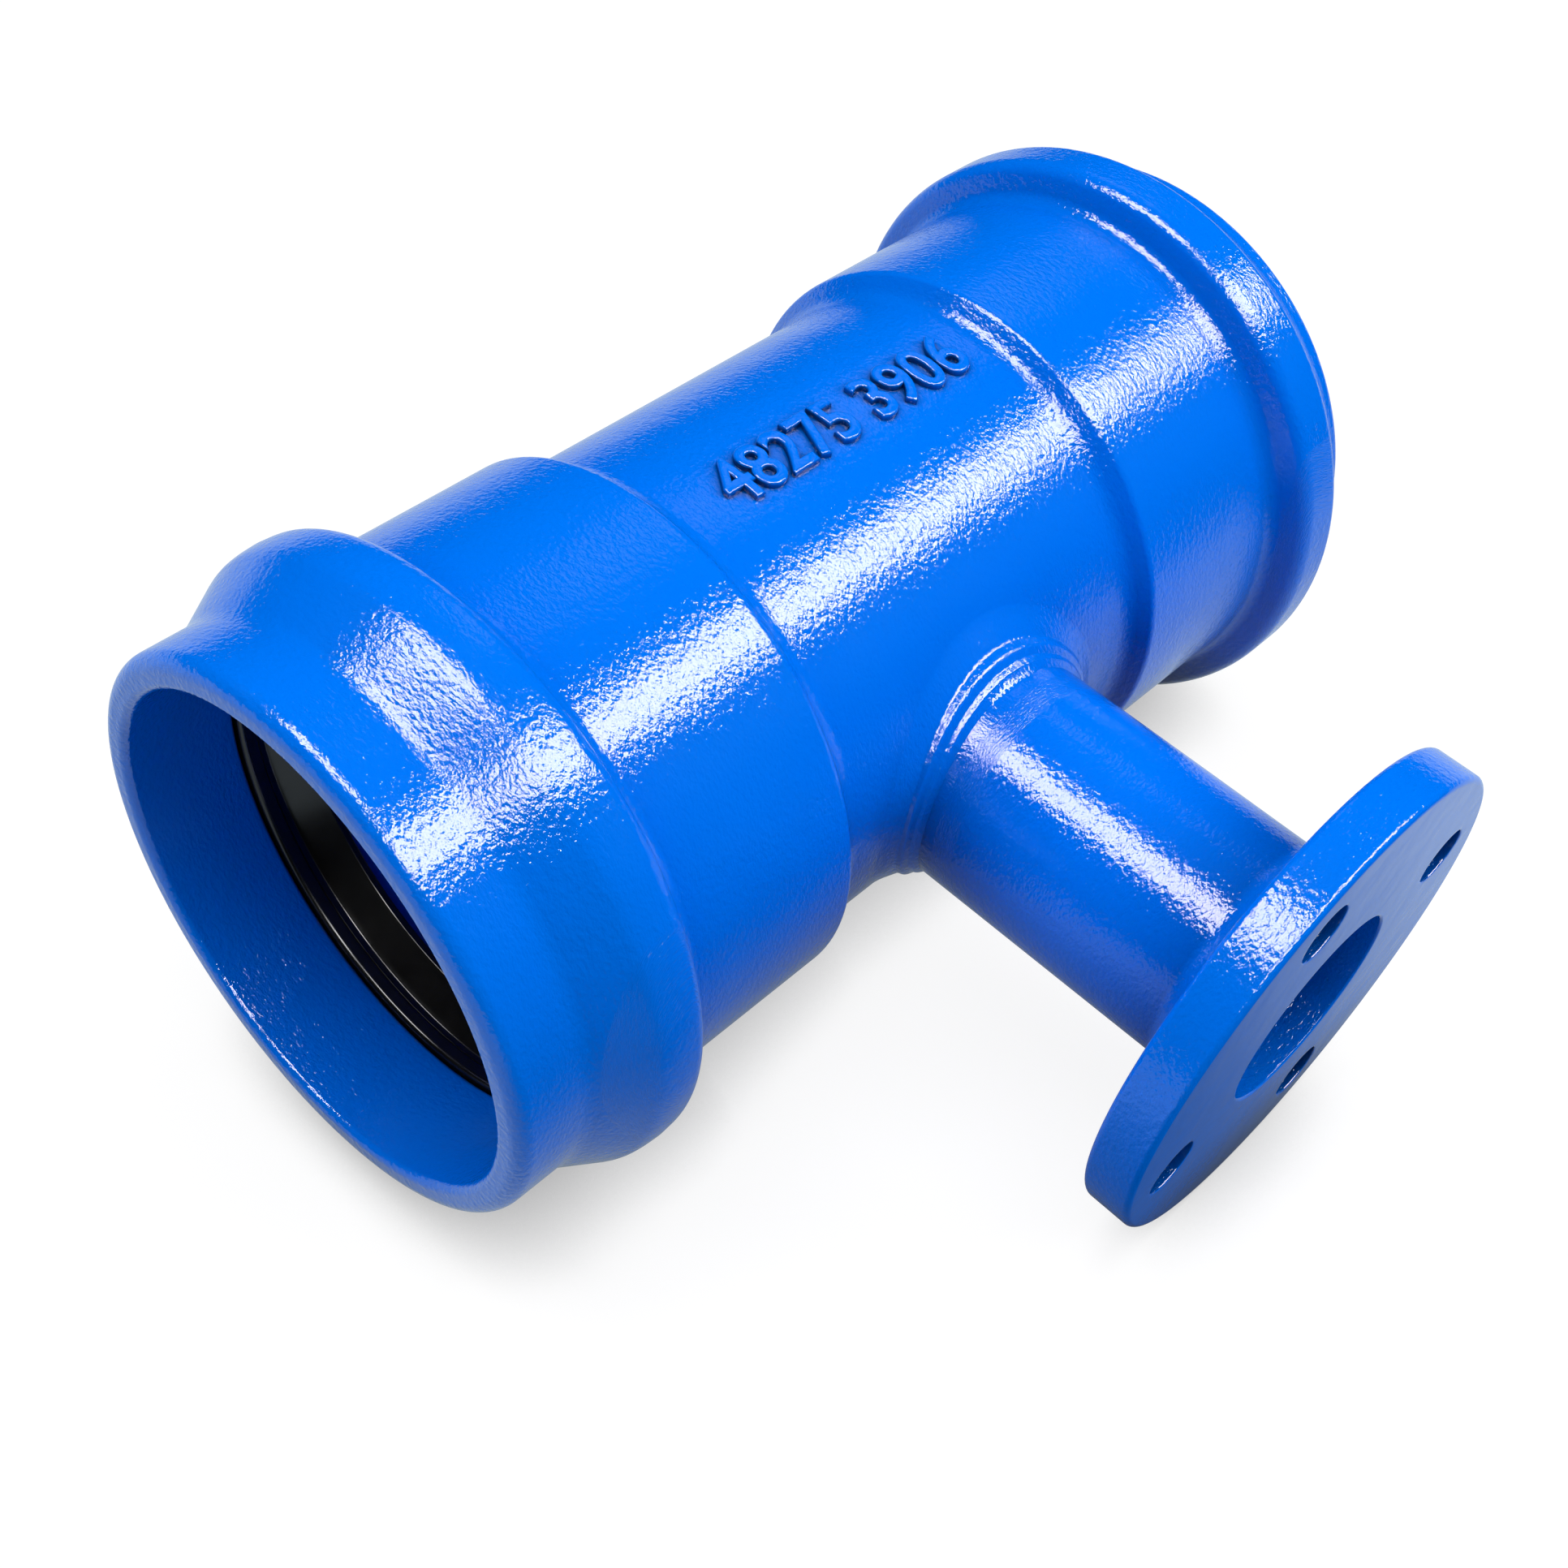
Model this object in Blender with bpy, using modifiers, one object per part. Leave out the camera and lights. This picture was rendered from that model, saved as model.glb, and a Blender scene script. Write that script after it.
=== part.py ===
"""Double socket tee in cast iron: a run with a push-fit socket at each end and a flanged branch.

The casting is modelled about the crossing of its two axes, the run along Y and the branch along +X.
A parent empty then lays it down as it rests, on both seal housings and on the flange's rim, with the
origin on the ground under the middle of its box. Lengths are in metres, and +Z is up.
"""

import math

import bmesh
import bpy
from mathutils import Vector

# Plastic pipe that each socket takes
PIPE_DIAMETER = 0.160
SOCKET_CLEARANCE = 0.0015
PIPE_STOP_DEPTH = 0.0055

# Walls of the run, outside its hollow
BODY_WALL = 0.0085
BARREL_WALL = 0.010
HOUSING_WALL = 0.0075
COLLAR_WALL = 0.011

# Lengths along the run, from the middle of the body out to the mouth
BODY_HALF_LENGTH = 0.067
SHOULDER_LENGTH = 0.006
BARREL_LENGTH = 0.066
HOUSING_SHOULDER = 0.005
FRONT_NECK_LENGTH = 0.018
FRONT_COLLAR_LENGTH = 0.024
BACK_NECK_LENGTH = 0.013
BACK_COLLAR_LENGTH = 0.008

# Rounds on the outside of the run
SHOULDER_FILLET = 0.005
HOUSING_FOOT_FILLET = 0.004
HOUSING_CREST_ROUND = 0.006
HOUSING_NECK_ROUND = 0.012
LIP_ROUND = 0.006
MOUTH_CHAMFER = 0.0018

# Groove for the seal, under the housing's crest
GROOVE_DEPTH = 0.0145
GROOVE_LENGTH = 0.022
GROOVE_ROUND = 0.003
GROOVE_BEFORE_CREST = 0.002
GROOVE_PAST_CREST = 0.004

# Rubber seal in the groove
SEAL_CLEARANCE = 0.0003
SEAL_BEAD_HEIGHT = 0.0022
SEAL_BEAD_LENGTH = 0.006
SEAL_WEB_DEPTH = 0.0015
SEAL_LIP_REACH = 0.0065
SEAL_LIP_LENGTH = 0.0125
SEAL_LIP_THICKNESS = 0.0035
SEAL_LIP_EDGE = 0.0012
SEAL_NOTCH = 0.004

# Branch and its flange
BRANCH_REACH = 0.2086
BRANCH_BORE_DIAMETER = 0.067
BRANCH_WALL = 0.0053
FLANGE_DIAMETER = 0.165
FLANGE_THICKNESS = 0.0165
FLANGE_EDGE_ROUND = 0.002
BORE_EDGE_CHAMFER = 0.001
HUB_LENGTH = 0.011
HUB_RISE = 0.006
HUB_FILLET = 0.008
BOLT_FROM_RIM = 0.020
BOLT_HOLE_DIAMETER = 0.019
BOLT_COUNT = 4
FIRST_BOLT_ANGLE = math.radians(22.0)

# Raised saddle collar where the branch leaves the body
SADDLE_REACH = 0.0056
SADDLE_CREST_REACH = 0.0048
SADDLE_CREST_HEIGHT = 0.0056
SADDLE_CREST_ROUND = 0.0015
SADDLE_STEP_REACH = 0.0026
SADDLE_STEP_HEIGHT = 0.0066
SADDLE_STEP_RISE = 0.0014
SADDLE_STEP_ROUND = 0.0008
SADDLE_TOP_HEIGHT = 0.0100
SADDLE_TOP_SINK = 0.0006
SADDLE_SIDE_SHARE = 0.64
SADDLE_FOOT = 0.0075
SADDLE_FOOT_FILLET = 0.005
SADDLE_SINK = 0.0002
SADDLE_ROOT = 0.004

# Faces round each turned form, and the step of an arc
RUN_FACES = 56
BRANCH_FACES = 40
HOLE_FACES = 20
ARC_STEP = math.radians(32.0)
MERGE_DISTANCE = 0.00001
CUT_OVERRUN = 0.006

# Radii that follow from the pipe and the walls
SOCKET_RADIUS = PIPE_DIAMETER / 2 + SOCKET_CLEARANCE
WATERWAY_RADIUS = SOCKET_RADIUS - PIPE_STOP_DEPTH
BODY_RADIUS = WATERWAY_RADIUS + BODY_WALL
BARREL_RADIUS = SOCKET_RADIUS + BARREL_WALL
GROOVE_RADIUS = SOCKET_RADIUS + GROOVE_DEPTH
HOUSING_RADIUS = GROOVE_RADIUS + HOUSING_WALL
COLLAR_RADIUS = SOCKET_RADIUS + COLLAR_WALL
BRANCH_BORE_RADIUS = BRANCH_BORE_DIAMETER / 2
BRANCH_RADIUS = BRANCH_BORE_RADIUS + BRANCH_WALL
FLANGE_RADIUS = FLANGE_DIAMETER / 2
BOLT_CIRCLE_RADIUS = FLANGE_RADIUS - BOLT_FROM_RIM

FINISHES = {
    "blue_epoxy": {"color": (0.0, 0.165, 0.90, 1.0), "roughness": 0.14, "metallic": 0.0},
    "black_rubber": {"color": (0.012, 0.012, 0.013, 1.0), "roughness": 0.42, "metallic": 0.0},
}


def remove_objects():
    for old in list(bpy.data.objects):
        bpy.data.objects.remove(old, do_unlink=True)


def make_collection(name):
    collection = bpy.data.collections.new(name)
    bpy.context.scene.collection.children.link(collection)
    return collection


def make_finish(name):
    values = FINISHES[name]
    finish = bpy.data.materials.new(name)
    finish.use_nodes = True
    shader = finish.node_tree.nodes["Principled BSDF"]
    shader.inputs["Base Color"].default_value = values["color"]
    shader.inputs["Roughness"].default_value = values["roughness"]
    shader.inputs["Metallic"].default_value = values["metallic"]
    finish.diffuse_color = values["color"]
    return finish


def rounded_outline(corners):
    """Points through corners given as (height, radius, round), with each round drawn as an arc."""
    points = []
    last = len(corners) - 1
    for index, (height, radius, rounding) in enumerate(corners):
        here = Vector((height, radius))
        if rounding <= 0 or index in (0, last):
            points.append(here)
            continue
        before = Vector(corners[index - 1][:2]) - here
        after = Vector(corners[index + 1][:2]) - here
        half_angle = before.angle(after) / 2
        # A round takes at most half of the shorter side beside it
        setback = min(rounding / math.tan(half_angle), before.length * 0.48, after.length * 0.48)
        arc_radius = setback * math.tan(half_angle)
        middle = (before.normalized() + after.normalized()).normalized()
        centre = here + middle * (arc_radius / math.sin(half_angle))
        start = here + before.normalized() * setback - centre
        turn = start.angle_signed(here + after.normalized() * setback - centre)
        steps = max(1, math.ceil(abs(turn) / ARC_STEP))
        for step in range(steps + 1):
            angle = -turn * step / steps
            swung = Vector((
                start.x * math.cos(angle) - start.y * math.sin(angle),
                start.x * math.sin(angle) + start.y * math.cos(angle),
            ))
            points.append(centre + swung)
    return points


def turned(name, outline, faces, closed=False):
    """Object turned about its own Z from an outline of (height, radius) points, top of the outer side first."""
    mesh = bpy.data.meshes.new(name)
    shape = bmesh.new()
    verts = [shape.verts.new((point[1], 0.0, point[0])) for point in outline]
    for one, other in zip(verts, verts[1:]):
        shape.edges.new((one, other))
    if closed:
        shape.edges.new((verts[-1], verts[0]))
    shape.to_mesh(mesh)
    shape.free()
    piece = bpy.data.objects.new(name, mesh)
    screw = piece.modifiers.new("turn", "SCREW")
    screw.axis = "Z"
    screw.steps = faces
    screw.render_steps = faces
    screw.use_merge_vertices = True
    screw.merge_threshold = MERGE_DISTANCE
    return piece


def groove_span():
    """Distances from the middle of the run at which the seal's groove starts and ends."""
    crest_start = BODY_HALF_LENGTH + SHOULDER_LENGTH + BARREL_LENGTH + HOUSING_SHOULDER
    start = crest_start - GROOVE_BEFORE_CREST
    return start, start + GROOVE_LENGTH


def crest_end():
    """Distance from the middle of the run at which a housing's crest ends and its neck starts."""
    return groove_span()[1] - GROOVE_PAST_CREST


def front_mouth():
    return crest_end() + FRONT_NECK_LENGTH + FRONT_COLLAR_LENGTH


def back_mouth():
    return crest_end() + BACK_NECK_LENGTH + BACK_COLLAR_LENGTH


def run_half_corners(mouth, collar_length):
    """Corners of one half of the run's outside, from the body out to its mouth."""
    shoulder_end = BODY_HALF_LENGTH + SHOULDER_LENGTH
    barrel_end = shoulder_end + BARREL_LENGTH
    crest_start = barrel_end + HOUSING_SHOULDER
    return [
        (BODY_HALF_LENGTH, BODY_RADIUS, SHOULDER_FILLET),
        (shoulder_end, BARREL_RADIUS, SHOULDER_FILLET),
        (barrel_end, BARREL_RADIUS, HOUSING_FOOT_FILLET),
        (crest_start, HOUSING_RADIUS, HOUSING_CREST_ROUND),
        (crest_end(), HOUSING_RADIUS, HOUSING_NECK_ROUND),
        (mouth - collar_length, COLLAR_RADIUS, HOUSING_NECK_ROUND),
        (mouth, COLLAR_RADIUS, LIP_ROUND),
        (mouth, 0.0, 0.0),
    ]


def core_half_corners(mouth):
    """Corners of one half of the run's hollow, from the waterway out through its mouth."""
    stop = BODY_HALF_LENGTH + SHOULDER_LENGTH / 2
    groove_start, groove_end = groove_span()
    flare = MOUTH_CHAMFER + CUT_OVERRUN
    return [
        (stop, WATERWAY_RADIUS, 0.0),
        (stop, SOCKET_RADIUS, 0.0),
        (groove_start, SOCKET_RADIUS, 0.0),
        (groove_start, GROOVE_RADIUS, GROOVE_ROUND),
        (groove_end, GROOVE_RADIUS, GROOVE_ROUND),
        (groove_end, SOCKET_RADIUS, 0.0),
        (mouth - MOUTH_CHAMFER, SOCKET_RADIUS, 0.0),
        (mouth + CUT_OVERRUN, SOCKET_RADIUS + flare, 0.0),
        (mouth + CUT_OVERRUN, 0.0, 0.0),
    ]


def both_halves(back, front):
    """Outline of a turned form from its two halves, with the back one at its top."""
    mirrored = [(-height, radius, rounding) for height, radius, rounding in front]
    return rounded_outline(list(reversed(back)) + mirrored)


def run_outline():
    back = run_half_corners(back_mouth(), BACK_COLLAR_LENGTH)
    return both_halves(back, run_half_corners(front_mouth(), FRONT_COLLAR_LENGTH))


def core_outline():
    return both_halves(core_half_corners(back_mouth()), core_half_corners(front_mouth()))


def branch_outline():
    """Outline of the branch tube and its flange, from the flange's face back to the run's axis."""
    back = BRANCH_REACH - FLANGE_THICKNESS
    hub = BRANCH_RADIUS + HUB_RISE
    return rounded_outline([
        (BRANCH_REACH, 0.0, 0.0),
        (BRANCH_REACH, FLANGE_RADIUS, FLANGE_EDGE_ROUND),
        (back, FLANGE_RADIUS, FLANGE_EDGE_ROUND),
        (back, hub, HUB_FILLET / 4),
        (back - HUB_LENGTH, BRANCH_RADIUS, HUB_FILLET),
        (0.0, BRANCH_RADIUS, 0.0),
        (0.0, 0.0, 0.0),
    ])


def branch_core_outline():
    """Outline of the branch's hollow, which ends on the run's axis inside the waterway."""
    flare = BORE_EDGE_CHAMFER + CUT_OVERRUN
    return rounded_outline([
        (BRANCH_REACH + CUT_OVERRUN, 0.0, 0.0),
        (BRANCH_REACH + CUT_OVERRUN, BRANCH_BORE_RADIUS + flare, 0.0),
        (BRANCH_REACH - BORE_EDGE_CHAMFER, BRANCH_BORE_RADIUS, 0.0),
        (0.0, BRANCH_BORE_RADIUS, 0.0),
        (0.0, 0.0, 0.0),
    ])


def saddle_section():
    """Section of the saddle collar at its highest, as (height over the body, distance from the axis)."""
    outer = BRANCH_RADIUS + SADDLE_REACH
    crest = BRANCH_RADIUS + SADDLE_CREST_REACH
    step = BRANCH_RADIUS + SADDLE_STEP_REACH
    # The foot's flat end lies just under the body's surface, so that its fillet meets it at a slight angle,
    # and the upper end sinks into the branch tube in the same way
    return rounded_outline([
        (-SADDLE_SINK, outer + SADDLE_FOOT, 0.0),
        (-SADDLE_SINK, outer, SADDLE_FOOT_FILLET),
        (SADDLE_CREST_HEIGHT, crest, SADDLE_CREST_ROUND),
        (SADDLE_STEP_HEIGHT, step, SADDLE_STEP_ROUND),
        (SADDLE_STEP_HEIGHT + SADDLE_STEP_RISE, step - SADDLE_STEP_RISE / 2, SADDLE_STEP_ROUND),
        (SADDLE_TOP_HEIGHT, BRANCH_RADIUS - SADDLE_TOP_SINK, 0.0),
        (-SADDLE_ROOT, BRANCH_RADIUS - SADDLE_ROOT, 0.0),
        (-SADDLE_ROOT, outer + SADDLE_FOOT, 0.0),
    ])


def make_saddle():
    """Ring lofted round the branch's axis, whose sections follow the body's curve."""
    shape = bmesh.new()
    rings = []
    for height, distance in saddle_section():
        ring = []
        for step in range(BRANCH_FACES):
            angle = 2 * math.pi * step / BRANCH_FACES
            along = distance * math.cos(angle)
            side = distance * math.sin(angle)
            # The collar stands lower over the body's widest line, so that its rim lies nearly level
            share = SADDLE_SIDE_SHARE + (1 - SADDLE_SIDE_SHARE) * math.sin(angle) ** 2
            rise = height * share if height > 0 else height
            out = math.sqrt((BODY_RADIUS + rise) ** 2 - side ** 2)
            ring.append(shape.verts.new((out, along, side)))
        rings.append(ring)
    for one, other in zip(rings, rings[1:] + rings[:1]):
        for step in range(BRANCH_FACES):
            after = (step + 1) % BRANCH_FACES
            shape.faces.new((one[step], one[after], other[after], other[step]))
    bmesh.ops.recalc_face_normals(shape, faces=shape.faces)
    mesh = bpy.data.meshes.new("saddle_form")
    shape.to_mesh(mesh)
    shape.free()
    return bpy.data.objects.new("saddle_form", mesh)


def seal_outline():
    """Section of the rubber ring: a heel that fills the groove, a front bead and a lip free at its back."""
    groove_start, groove_end = groove_span()
    back = groove_start + SEAL_CLEARANCE
    front = groove_end - SEAL_CLEARANCE
    outer = GROOVE_RADIUS - SEAL_CLEARANCE
    bead = SOCKET_RADIUS - SEAL_BEAD_HEIGHT
    bead_back = front - SEAL_BEAD_LENGTH
    bead_round = SEAL_BEAD_HEIGHT / 2
    web = SOCKET_RADIUS + SEAL_WEB_DEPTH
    lip = SOCKET_RADIUS - SEAL_LIP_REACH
    heel = lip + SEAL_LIP_THICKNESS + SEAL_NOTCH
    return [Vector(point) for point in (
        (front, outer - GROOVE_ROUND),
        (front - GROOVE_ROUND, outer),
        (back + GROOVE_ROUND, outer),
        (back, outer - GROOVE_ROUND),
        (back, heel),
        (back + SEAL_LIP_LENGTH / 2, heel),
        (back + SEAL_LIP_EDGE / 2, lip + SEAL_LIP_THICKNESS),
        (back + SEAL_LIP_EDGE / 2, lip + SEAL_LIP_EDGE),
        (back + SEAL_LIP_EDGE, lip),
        (back + SEAL_LIP_EDGE * 2, lip),
        (back + SEAL_LIP_LENGTH, web),
        (bead_back, web),
        (bead_back + bead_round, bead),
        (front - bead_round * 2, bead),
        (front - bead_round / 2, bead + bead_round),
        (front, web),
    )]


def cut_or_join(piece, operation, other):
    step = piece.modifiers.new(other.name, "BOOLEAN")
    step.operation = operation
    step.solver = "EXACT"
    step.object = other


def as_guide(form, collection):
    """Keep a form as a tool for the Booleans: drawn as wire and never rendered."""
    collection.objects.link(form)
    form.display_type = "WIRE"
    form.hide_render = True
    return form


def rest_tilt():
    """Angle by which the branch dips so that the flange's rim meets the ground on which the housings lie."""
    rim_out = BRANCH_REACH - FLANGE_EDGE_ROUND
    rim_down = FLANGE_RADIUS - FLANGE_EDGE_ROUND
    ground = HOUSING_RADIUS - FLANGE_EDGE_ROUND
    return math.asin(ground / math.hypot(rim_out, rim_down)) - math.atan2(rim_down, rim_out)


def make_rest_frame(collection, tilt):
    """Empty that lays the casting down, with its box centred over the origin."""
    rim_out = BRANCH_REACH - FLANGE_EDGE_ROUND
    rim_up = FLANGE_RADIUS - FLANGE_EDGE_ROUND
    farthest = rim_out * math.cos(tilt) + rim_up * math.sin(tilt) + FLANGE_EDGE_ROUND
    frame = bpy.data.objects.new("rest_frame", None)
    collection.objects.link(frame)
    frame.location = ((HOUSING_RADIUS - farthest) / 2, (front_mouth() - back_mouth()) / 2, HOUSING_RADIUS)
    frame.rotation_euler = (0.0, tilt, 0.0)
    return frame


def lay_along_run(piece, frame, tilt, towards_back=True):
    """Turn a form's Z along the run, with its faces square to the ground."""
    piece.parent = frame
    piece.rotation_euler = (-math.pi / 2 if towards_back else math.pi / 2, -tilt, 0.0)


def lay_along_branch(piece, frame, side=0.0, up=0.0):
    """Turn a form's Z along the branch, with its axis moved sideways and up from the branch's own."""
    piece.parent = frame
    piece.rotation_euler = (0.0, math.pi / 2, 0.0)
    piece.location = (0.0, side, up)


def make_body(parts, guides, frame, tilt):
    """The one-piece casting: run, saddle collar, branch and flange, less the cores and the bolt holes."""
    body = turned("tee_body", run_outline(), RUN_FACES)
    parts.objects.link(body)
    lay_along_run(body, frame, tilt)

    saddle = as_guide(make_saddle(), guides)
    saddle.parent = frame
    cut_or_join(body, "UNION", saddle)

    branch = as_guide(turned("branch_form", branch_outline(), BRANCH_FACES), guides)
    lay_along_branch(branch, frame)
    cut_or_join(body, "UNION", branch)

    run_core = as_guide(turned("run_core", core_outline(), RUN_FACES), guides)
    lay_along_run(run_core, frame, tilt)
    cut_or_join(body, "DIFFERENCE", run_core)

    branch_core = as_guide(turned("branch_core", branch_core_outline(), BRANCH_FACES), guides)
    lay_along_branch(branch_core, frame)
    cut_or_join(body, "DIFFERENCE", branch_core)

    drill_outline = [
        (BRANCH_REACH + CUT_OVERRUN, 0.0),
        (BRANCH_REACH + CUT_OVERRUN, BOLT_HOLE_DIAMETER / 2),
        (BRANCH_REACH - FLANGE_THICKNESS - CUT_OVERRUN, BOLT_HOLE_DIAMETER / 2),
        (BRANCH_REACH - FLANGE_THICKNESS - CUT_OVERRUN, 0.0),
    ]
    for number in range(BOLT_COUNT):
        angle = FIRST_BOLT_ANGLE + 2 * math.pi * number / BOLT_COUNT
        drill = as_guide(turned(f"bolt_drill_{number + 1}", drill_outline, HOLE_FACES), guides)
        side = BOLT_CIRCLE_RADIUS * math.cos(angle)
        up = BOLT_CIRCLE_RADIUS * math.sin(angle)
        lay_along_branch(drill, frame, side, up)
        cut_or_join(body, "DIFFERENCE", drill)
    return body


def make_seals(parts, frame, tilt):
    """One rubber ring in the groove of each socket, both turned from the same section."""
    seals = []
    for name, towards_back in (("front_seal", False), ("back_seal", True)):
        seal = turned(name, seal_outline(), RUN_FACES, closed=True)
        parts.objects.link(seal)
        lay_along_run(seal, frame, tilt, towards_back)
        seals.append(seal)
    return seals


def build():
    remove_objects()
    parts = make_collection("double_socket_tee")
    guides = make_collection("guides")
    tilt = rest_tilt()
    frame = make_rest_frame(parts, tilt)
    epoxy = make_finish("blue_epoxy")
    rubber = make_finish("black_rubber")
    body = make_body(parts, guides, frame, tilt)
    body.data.materials.append(epoxy)
    for seal in make_seals(parts, frame, tilt):
        seal.data.materials.append(rubber)


build()
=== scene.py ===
import math

import bmesh
import bpy
from mathutils import Matrix, Vector


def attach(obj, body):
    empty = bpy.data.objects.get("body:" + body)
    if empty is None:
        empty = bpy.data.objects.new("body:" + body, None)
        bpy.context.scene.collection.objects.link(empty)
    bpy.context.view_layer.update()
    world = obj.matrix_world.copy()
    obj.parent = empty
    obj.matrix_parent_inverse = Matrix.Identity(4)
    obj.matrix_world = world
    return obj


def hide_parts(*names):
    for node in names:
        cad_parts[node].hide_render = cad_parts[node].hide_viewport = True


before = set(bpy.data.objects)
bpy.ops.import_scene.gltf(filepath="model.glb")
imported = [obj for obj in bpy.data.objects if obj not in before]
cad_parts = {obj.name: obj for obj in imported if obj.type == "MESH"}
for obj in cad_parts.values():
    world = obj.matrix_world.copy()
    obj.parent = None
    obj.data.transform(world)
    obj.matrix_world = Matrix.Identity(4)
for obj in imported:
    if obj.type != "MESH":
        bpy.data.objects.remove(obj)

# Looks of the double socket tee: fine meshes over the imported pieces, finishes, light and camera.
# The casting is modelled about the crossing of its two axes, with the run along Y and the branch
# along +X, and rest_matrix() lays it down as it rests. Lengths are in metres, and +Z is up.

# Plastic pipe that each socket takes
PIPE_DIAMETER = 0.160
SOCKET_CLEARANCE = 0.0015
PIPE_STOP_DEPTH = 0.0055

# Walls of the run, outside its hollow
BODY_WALL = 0.0085
BARREL_WALL = 0.010
HOUSING_WALL = 0.0075
COLLAR_WALL = 0.011

# Lengths along the run, from the middle of the body out to the mouth
BODY_HALF_LENGTH = 0.067
SHOULDER_LENGTH = 0.006
BARREL_LENGTH = 0.066
HOUSING_SHOULDER = 0.005
FRONT_NECK_LENGTH = 0.018
FRONT_COLLAR_LENGTH = 0.024
BACK_NECK_LENGTH = 0.013
BACK_COLLAR_LENGTH = 0.008

# Rounds on the run
SHOULDER_FILLET = 0.009
SHOULDER_EDGE_ROUND = 0.003
HOUSING_FOOT_FILLET = 0.006
HOUSING_CREST_ROUND = 0.006
FRONT_CROWN = 0.0011
FRONT_CROWN_ROUND = 1.0
FRONT_CROWN_KEPT = 0.76
FRONT_NECK_ROUND = 0.012
BACK_NECK_ROUND = 0.004
COLLAR_FOOT_ROUND = 0.012
LIP_ROUND = 0.006
MOUTH_ROUND = 0.003
STOP_ROUND = 0.0015

# Recess in a mouth before its core is cut: its depth, and how far its side stands inside the wall
# that the core leaves
MOUTH_SEAT = 0.006
MOUTH_SKIN = 0.00005

# Most of a side's length that the round at its end may take
ROUND_SHARE = 0.48

# Groove for the seal, under the housing's crest
GROOVE_DEPTH = 0.0145
GROOVE_LENGTH = 0.022
GROOVE_ROUND = 0.003
GROOVE_BEFORE_CREST = 0.002
GROOVE_PAST_CREST = 0.004

# Rubber seal in the groove, whose section starts and ends a seam's width apart
SEAL_CLEARANCE = 0.0003
SEAL_BEAD_HEIGHT = 0.0022
SEAL_BEAD_LENGTH = 0.006
SEAL_BEAD_ROUND = 0.0017
SEAL_WEB_DEPTH = 0.0015
SEAL_LIP_REACH = 0.0065
SEAL_LIP_LENGTH = 0.0125
SEAL_LIP_FLAT = 0.0025
SEAL_LIP_THICKNESS = 0.0035
SEAL_LIP_ROUND = 0.0011
SEAL_WEB_ROUND = 0.00055
SEAL_NOTCH = 0.004
SEAL_SEAM = 0.0001

# Branch and its flange
BRANCH_REACH = 0.2086
BRANCH_BORE_DIAMETER = 0.067
BRANCH_WALL = 0.0053
FLANGE_DIAMETER = 0.165
FLANGE_THICKNESS = 0.0165
FLANGE_EDGE_ROUND = 0.002
BORE_EDGE_ROUND = 0.001
BORE_SEAT = 0.003
HUB_LENGTH = 0.011
HUB_RISE = 0.006
HUB_FILLET = 0.008
HUB_ROOT_FILLET = 0.002
BOLT_FROM_RIM = 0.020
BOLT_HOLE_DIAMETER = 0.019
BOLT_EDGE_ROUND = 0.0007
BOLT_COUNT = 4
FIRST_BOLT_ANGLE = math.radians(22.0)

# Steps of a bolt hole's eased edge, in rounds: how far out past the flange's face, and how far
# out from the hole's side
BOLT_EDGE_STEPS = ((0.4, 1.6), (-0.3, 0.3), (-1.0, 0.0))

# Raised saddle collar where the branch leaves the body
SADDLE_REACH = 0.0056
SADDLE_CREST_REACH = 0.0048
SADDLE_CREST_HEIGHT = 0.0056
SADDLE_CREST_ROUND = 0.0015
SADDLE_STEP_REACH = 0.0026
SADDLE_STEP_HEIGHT = 0.0066
SADDLE_STEP_RISE = 0.0014
SADDLE_STEP_ROUND = 0.0008
SADDLE_TOP_HEIGHT = 0.010
SADDLE_TOP_SINK = 0.0006
SADDLE_SIDE_SHARE = 0.64
SADDLE_FOOT = 0.011
SADDLE_FOOT_FILLET = 0.012
SADDLE_SLOPE_START = 0.56
SADDLE_SLOPE_HEIGHT = 0.003
SADDLE_SLOPE_FILLET = 0.0016
SADDLE_SINK = 0.00008
SADDLE_ROOT = 0.004

# Raised plain numbers on top of the body
NUMBERS = "48275 3906"
NUMBERS_LENGTH = 0.103
NUMBERS_HEIGHT = 0.0172
NUMBERS_MIDDLE = 0.0045
NUMBERS_ANGLE = math.radians(8.2)
NUMBERS_RISE = 0.0022
NUMBERS_SINK = 0.0008
NUMBERS_EDGE = 0.0009
NUMBERS_BOLDNESS = 0.0007
NUMBERS_ROW = 0.0008
NUMBERS_SHARP_ANGLE = math.radians(50.0)
CURVE_STEPS = 6
EDGE_STEPS = 3
CUT_DISTANCE = 0.000001

# Distance at which the numbers' points merge, before they are scaled to their real size
NUMBERS_MERGE = 0.0001

# Finish of the epoxy coat
EPOXY_COLOR = (0.0, 0.184, 0.94)
EPOXY_ROUGHNESS = 0.045
EPOXY_IOR = 1.5
EPOXY_SPECULAR_TINT = (1.0, 0.94, 1.0, 1.0)

# Slight waves of the casting under the coat: how many a metre, their noise, height and strength
WAVE_SCALE = 55.0
WAVE_DETAIL = 2.0
WAVE_ROUGHNESS = 0.5
WAVE_HEIGHT = 0.0012
WAVE_STRENGTH = 0.3

# Ripples in the coat: how many a metre, their noise, their share of that along their length, their
# height, the places along +X between which they turn from the run's way to the branch's, what is
# left of them on the flange's face, and the depth below that face over which they fade
RIPPLE_SCALE = 720.0
RIPPLE_DETAIL = 2.5
RIPPLE_ROUGHNESS = 0.55
RIPPLE_STRETCH = 0.65
RIPPLE_HEIGHT = 0.00031
RIPPLE_TURN_START = 0.038
RIPPLE_TURN_END = 0.046
RIPPLE_ON_FACE = 0.12
FACE_DEPTH = 0.0004

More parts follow.
